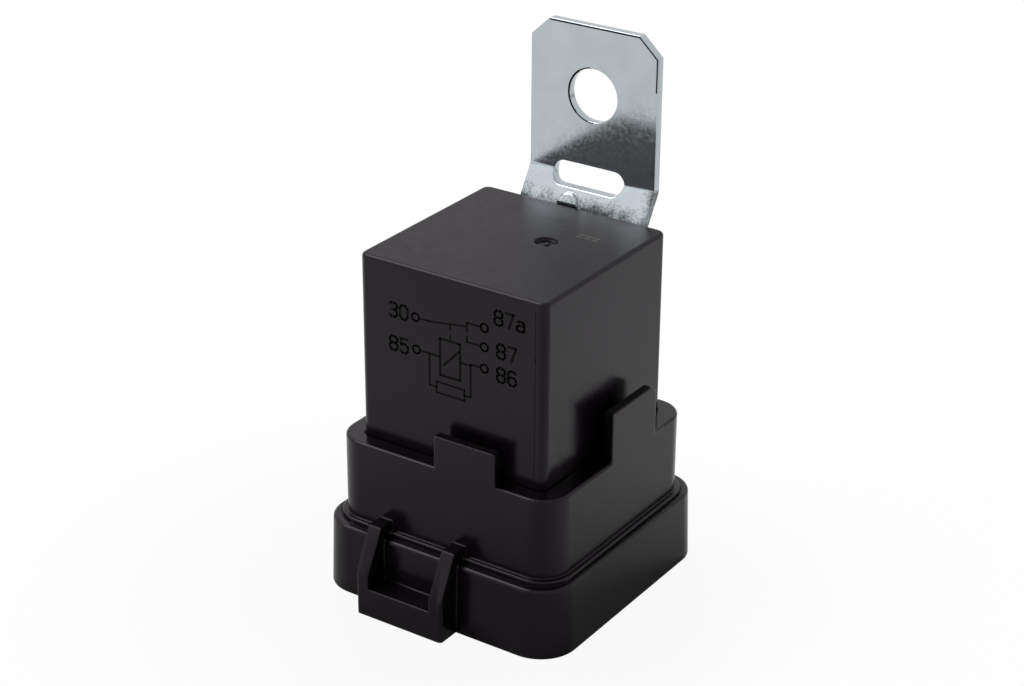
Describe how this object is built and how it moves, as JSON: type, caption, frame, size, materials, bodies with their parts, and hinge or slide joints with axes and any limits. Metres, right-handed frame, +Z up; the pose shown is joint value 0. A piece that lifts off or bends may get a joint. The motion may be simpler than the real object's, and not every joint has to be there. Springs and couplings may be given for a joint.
{
  "type": "automotive relay",
  "caption": "Weatherproof changeover relay: black cover seated in a skirted plug housing with a latch pocket, and a folded steel fixing bracket on its back.",
  "frame": {"origin": "centre of the socket mouth, in the plane of the skirt's lower rim", "axes": "+Z up out of the cover's top, -Y to the front with the latch pocket and diagram, +Y to the bracket, +X to the right"},
  "size_m": [0.0372, 0.0407, 0.0708],
  "materials": {
    "cover_plastic": "satin black moulded polyamide",
    "housing_plastic": "satin black moulded polyamide",
    "bracket_steel": "zinc plated sheet",
    "base_plastic": "moulded base",
    "potting": "cured sealing compound",
    "tinned_brass": "tinned",
    "soft_iron": "zinc plated iron",
    "bobbin_plastic": "natural glass-filled polyamide",
    "copper_wire": "enamelled copper",
    "spring_bronze": "rolled spring bronze",
    "contact_silver": "silver alloy",
    "rivet_steel": "plain",
    "resistor_coat": "lacquered",
    "tinned_wire": "tinned wire"
  },
  "bodies": {
    "relay_body": {"cover": "cover_plastic", "skirt_housing": "housing_plastic", "bracket": "bracket_steel", "base_plate": "base_plastic", "potting_seal": "potting", "terminal_30": "tinned_brass", "terminal_85": "tinned_brass", "terminal_86": "tinned_brass", "terminal_87": "tinned_brass", "terminal_87a": "tinned_brass", "yoke": "soft_iron", "core": "soft_iron", "bobbin": "bobbin_plastic", "coil_winding": "copper_wire", "coil_lead_85": "copper_wire", "coil_lead_86": "copper_wire", "fixed_contact_no": "contact_silver", "fixed_contact_nc": "contact_silver", "return_spring": "spring_bronze", "yoke_rivet_left": "rivet_steel", "yoke_rivet_right": "rivet_steel", "resistor_body": "resistor_coat", "resistor_lead_85": "tinned_wire", "resistor_lead_86": "tinned_wire"},
    "armature": {"armature": "soft_iron", "contact_spring": "spring_bronze", "moving_contact": "contact_silver", "armature_rivet_left": "rivet_steel", "armature_rivet_right": "rivet_steel"}
  },
  "joints": [
    {"name": "armature_hinge", "type": "hinge", "parent": "relay_body", "child": "armature", "pos_m": [0, 0.01, 0.04146], "axis": [1, 0, 0], "range_deg": [0, 2.6], "stiffness_Nm_per_rad": 0.06, "springref_deg": -0.57, "deforming": ["return_spring"]}
  ]
}
